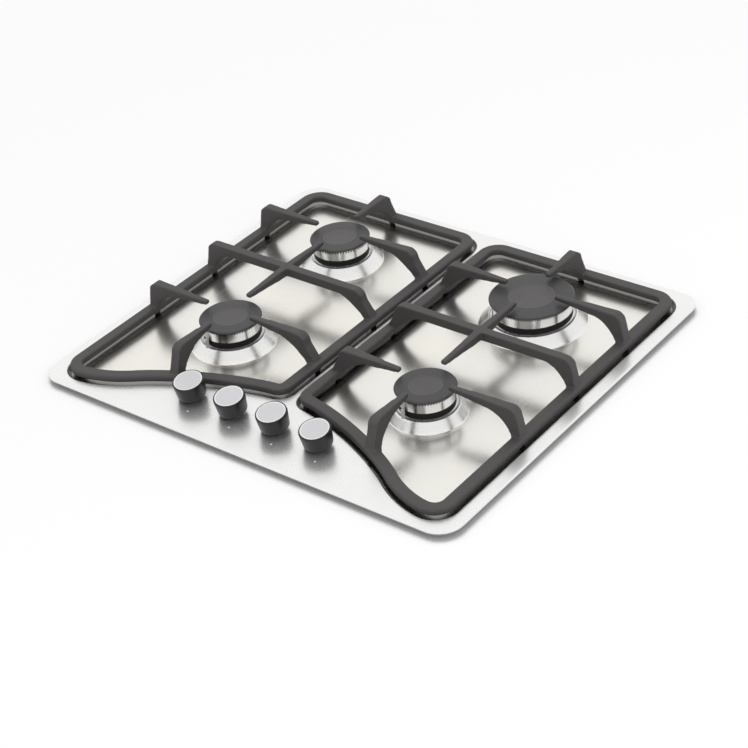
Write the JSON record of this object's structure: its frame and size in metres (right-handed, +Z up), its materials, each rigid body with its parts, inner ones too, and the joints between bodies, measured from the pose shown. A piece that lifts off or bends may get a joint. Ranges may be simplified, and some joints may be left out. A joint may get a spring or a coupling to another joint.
{
  "type": "gas cooktop",
  "caption": "Built-in gas cooktop: brushed steel plate with cast-iron pan supports, capped burners and leaning push-and-turn knobs along the front.",
  "frame": {"origin": "centre of the casing's flat base", "axes": "+X to the right seen by the user along the front edge, +Y away from the user, +Z up; the plate's border is at z = 49 mm and the worktop's surface at z = 46 mm"},
  "size_m": [0.58, 0.5, 0.091],
  "materials": {
    "brushed_steel": "brushed stainless steel",
    "galvanised_steel": "galvanised sheet, spangled",
    "cast_iron": "matt enamel over cast iron, fine grain",
    "black_enamel": "satin enamel on steel",
    "cast_aluminium": "turned and bright",
    "brass": "machined",
    "black_plastic": "satin moulded",
    "satin_silver": "satin disc",
    "ceramic": "glazed ceramic",
    "foam_rubber": "closed-cell foam"
  },
  "bodies": {
    "hob": {"top_plate": "brushed_steel", "casing_tray": "galvanised_steel", "rim_gasket": "foam_rubber", "worktop_clamp_left_front": "galvanised_steel", "worktop_clamp_left_back": "galvanised_steel", "worktop_clamp_right_front": "galvanised_steel", "worktop_clamp_right_back": "galvanised_steel", "burner_cup_front_left": "cast_aluminium", "injector_front_left": "brass", "spark_plug_front_left": "ceramic", "burner_cup_back_left": "cast_aluminium", "injector_back_left": "brass", "spark_plug_back_left": "ceramic", "burner_cup_back_right": "cast_aluminium", "injector_back_right": "brass", "spark_plug_back_right": "ceramic", "burner_cup_front_right": "cast_aluminium", "injector_front_right": "brass", "spark_plug_front_right": "ceramic", "tap_spring_front_left": "galvanised_steel", "tap_body_front_left": "brass", "gas_tube_front_left": "cast_aluminium", "tap_spring_back_left": "galvanised_steel", "tap_body_back_left": "brass", "gas_tube_back_left": "cast_aluminium", "tap_spring_back_right": "galvanised_steel", "tap_body_back_right": "brass", "gas_tube_back_right": "cast_aluminium", "tap_spring_front_right": "galvanised_steel", "tap_body_front_right": "brass", "gas_tube_front_right": "cast_aluminium", "gas_manifold": "galvanised_steel", "inlet_elbow": "brass", "ignition_unit": "black_plastic"},
    "pan_support_left": {"pan_support_left": "cast_iron"},
    "pan_support_right": {"pan_support_right": "cast_iron"},
    "burner_head_front_left": {"burner_head_front_left": "cast_aluminium"},
    "burner_cap_front_left": {"burner_cap_front_left": "black_enamel"},
    "burner_head_back_left": {"burner_head_back_left": "cast_aluminium"},
    "burner_cap_back_left": {"burner_cap_back_left": "black_enamel"},
    "burner_head_back_right": {"burner_head_back_right": "cast_aluminium"},
    "burner_cap_back_right": {"burner_cap_back_right": "black_enamel"},
    "burner_head_front_right": {"burner_head_front_right": "cast_aluminium"},
    "burner_cap_front_right": {"burner_cap_front_right": "black_enamel"},
    "tap_collar_front_left": {"tap_washer_front_left": "galvanised_steel"},
    "knob_front_left": {"knob_body_front_left": "black_plastic", "knob_disc_front_left": "satin_silver", "tap_spindle_front_left": "galvanised_steel"},
    "tap_collar_back_left": {"tap_washer_back_left": "galvanised_steel"},
    "knob_back_left": {"knob_body_back_left": "black_plastic", "knob_disc_back_left": "satin_silver", "tap_spindle_back_left": "galvanised_steel"},
    "tap_collar_back_right": {"tap_washer_back_right": "galvanised_steel"},
    "knob_back_right": {"knob_body_back_right": "black_plastic", "knob_disc_back_right": "satin_silver", "tap_spindle_back_right": "galvanised_steel"},
    "tap_collar_front_right": {"tap_washer_front_right": "galvanised_steel"},
    "knob_front_right": {"knob_body_front_right": "black_plastic", "knob_disc_front_right": "satin_silver", "tap_spindle_front_right": "galvanised_steel"}
  },
  "joints": [
    {"name": "pan_support_left_lift", "type": "slide", "parent": "hob", "child": "pan_support_left", "axis": [0, 0, 1], "range_m": [0, 0.06]},
    {"name": "pan_support_right_lift", "type": "slide", "parent": "hob", "child": "pan_support_right", "axis": [0, 0, 1], "range_m": [0, 0.06]},
    {"name": "burner_head_front_left_lift", "type": "slide", "parent": "hob", "child": "burner_head_front_left", "axis": [0, 0, 1], "range_m": [0, 0.002]},
    {"name": "burner_cap_front_left_lift", "type": "slide", "parent": "burner_head_front_left", "child": "burner_cap_front_left", "axis": [0, 0, 1], "range_m": [0, 0.002]},
    {"name": "burner_head_back_left_lift", "type": "slide", "parent": "hob", "child": "burner_head_back_left", "axis": [0, 0, 1], "range_m": [0, 0.002]},
    {"name": "burner_cap_back_left_lift", "type": "slide", "parent": "burner_head_back_left", "child": "burner_cap_back_left", "axis": [0, 0, 1], "range_m": [0, 0.002]},
    {"name": "burner_head_back_right_lift", "type": "slide", "parent": "hob", "child": "burner_head_back_right", "axis": [0, 0, 1], "range_m": [0, 0.002]},
    {"name": "burner_cap_back_right_lift", "type": "slide", "parent": "burner_head_back_right", "child": "burner_cap_back_right", "axis": [0, 0, 1], "range_m": [0, 0.002]},
    {"name": "burner_head_front_right_lift", "type": "slide", "parent": "hob", "child": "burner_head_front_right", "axis": [0, 0, 1], "range_m": [0, 0.002]},
    {"name": "burner_cap_front_right_lift", "type": "slide", "parent": "burner_head_front_right", "child": "burner_cap_front_right", "axis": [0, 0, 1], "range_m": [0, 0.002]},
    {"name": "knob_front_left_push", "type": "slide", "parent": "hob", "child": "tap_collar_front_left", "axis": [0, 0.1478, -0.989], "range_m": [0, 0.002], "stiffness_N_per_m": 3000, "springref_m": -0.002, "deforming": ["tap_spring_front_left"]},
    {"name": "knob_front_left_turn", "type": "hinge", "parent": "tap_collar_front_left", "child": "knob_front_left", "pos_m": [-0.10125, -0.192, 0.049], "axis": [0, -0.1478, 0.989], "range_deg": [0, 210]},
    {"name": "knob_back_left_push", "type": "slide", "parent": "hob", "child": "tap_collar_back_left", "axis": [0, 0.1478, -0.989], "range_m": [0, 0.002], "stiffness_N_per_m": 3000, "springref_m": -0.002, "deforming": ["tap_spring_back_left"]},
    {"name": "knob_back_left_turn", "type": "hinge", "parent": "tap_collar_back_left", "child": "knob_back_left", "pos_m": [-0.04075, -0.192, 0.049], "axis": [0, -0.1478, 0.989], "range_deg": [0, 210]},
    {"name": "knob_back_right_push", "type": "slide", "parent": "hob", "child": "tap_collar_back_right", "axis": [0, 0.1478, -0.989], "range_m": [0, 0.002], "stiffness_N_per_m": 3000, "springref_m": -0.002, "deforming": ["tap_spring_back_right"]},
    {"name": "knob_back_right_turn", "type": "hinge", "parent": "tap_collar_back_right", "child": "knob_back_right", "pos_m": [0.01975, -0.192, 0.049], "axis": [0, -0.1478, 0.989], "range_deg": [0, 210]},
    {"name": "knob_front_right_push", "type": "slide", "parent": "hob", "child": "tap_collar_front_right", "axis": [0, 0.1478, -0.989], "range_m": [0, 0.002], "stiffness_N_per_m": 3000, "springref_m": -0.002, "deforming": ["tap_spring_front_right"]},
    {"name": "knob_front_right_turn", "type": "hinge", "parent": "tap_collar_front_right", "child": "knob_front_right", "pos_m": [0.08025, -0.192, 0.049], "axis": [0, -0.1478, 0.989], "range_deg": [0, 210]}
  ]
}
